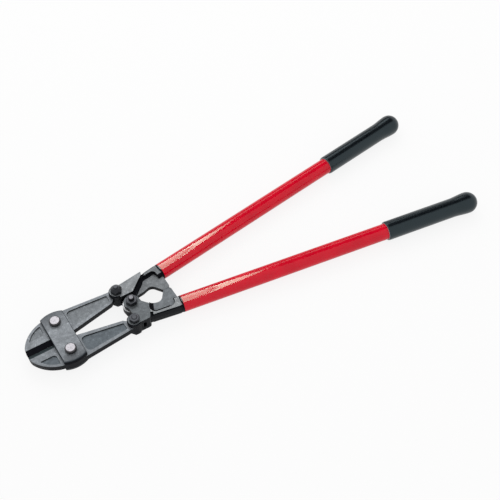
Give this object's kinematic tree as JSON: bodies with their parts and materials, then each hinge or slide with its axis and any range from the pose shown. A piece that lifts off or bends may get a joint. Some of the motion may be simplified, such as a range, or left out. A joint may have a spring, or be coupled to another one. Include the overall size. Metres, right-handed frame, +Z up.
{
  "type": "bolt cutters",
  "caption": "Heavy-duty bolt cutters with forged bevelled jaws in clasp plates, a toggle linkage, tubular handles and moulded grips, drawn closed and lying flat.",
  "frame": {"origin": "on the floor plane, under the middle of the tool's box when it lies flat", "axes": "+X from the jaws to the grips, +Y from the centre line to the upper handle, +Z up"},
  "size_m": [0.682, 0.2242, 0.0385],
  "materials": {
    "jaw_steel": "forged, satin gunmetal",
    "clasp_steel": "satin gunmetal",
    "iron_steel": "forged, satin gunmetal",
    "tube_paint": "gloss red enamel",
    "grip_vinyl": "semi-gloss charcoal vinyl",
    "bright_bolt": "ground bright steel",
    "black_bolt": "black oxide",
    "black_nut": "black oxide",
    "bush_steel": "turned steel"
  },
  "bodies": {
    "clasp": {"top_clasp": "clasp_steel", "bottom_clasp": "clasp_steel", "upper_clasp_bolt": "bright_bolt", "lower_clasp_bolt": "bright_bolt", "upper_clasp_nut": "black_nut", "lower_clasp_nut": "black_nut"},
    "upper_jaw": {"upper_jaw": "jaw_steel"},
    "lower_jaw": {"lower_jaw": "jaw_steel"},
    "upper_handle": {"upper_iron": "iron_steel", "upper_tube": "tube_paint", "upper_grip": "grip_vinyl", "upper_bush": "bush_steel", "upper_link_bolt": "black_bolt", "upper_link_nut": "black_nut"},
    "lower_handle": {"lower_iron": "iron_steel", "lower_tube": "tube_paint", "lower_grip": "grip_vinyl", "lower_bush": "bush_steel", "lower_link_bolt": "black_bolt", "lower_link_nut": "black_nut", "centre_bolt": "black_bolt", "centre_nut": "black_nut"}
  },
  "joints": [
    {"name": "upper_jaw_pivot", "type": "hinge", "parent": "clasp", "child": "upper_jaw", "pos_m": [-0.28897, 0.0248, 0.016], "axis": [0, 0, 1], "range_deg": [-6.5, 0]},
    {"name": "lower_jaw_pivot", "type": "hinge", "parent": "clasp", "child": "lower_jaw", "pos_m": [-0.28897, -0.0248, 0.016], "axis": [0, 0, 1], "range_deg": [0, 6.5]},
    {"name": "handle_spread", "type": "hinge", "parent": "upper_jaw", "child": "upper_handle", "pos_m": [-0.19687, 0.0273, 0.016], "axis": [0, 0, 1], "range_deg": [0, 41.8]},
    {"name": "lower_link_pivot", "type": "hinge", "parent": "lower_jaw", "child": "lower_handle", "pos_m": [-0.19687, -0.0273, 0.016], "axis": [0, 0, 1], "range_deg": [-41.8, 0]}
  ],
  "couplings": [
    {"joint": "upper_jaw_pivot", "follows": "handle_spread", "ratio": -0.1535},
    {"joint": "lower_jaw_pivot", "follows": "handle_spread", "ratio": 0.1535},
    {"joint": "lower_link_pivot", "follows": "handle_spread", "ratio": -1}
  ]
}
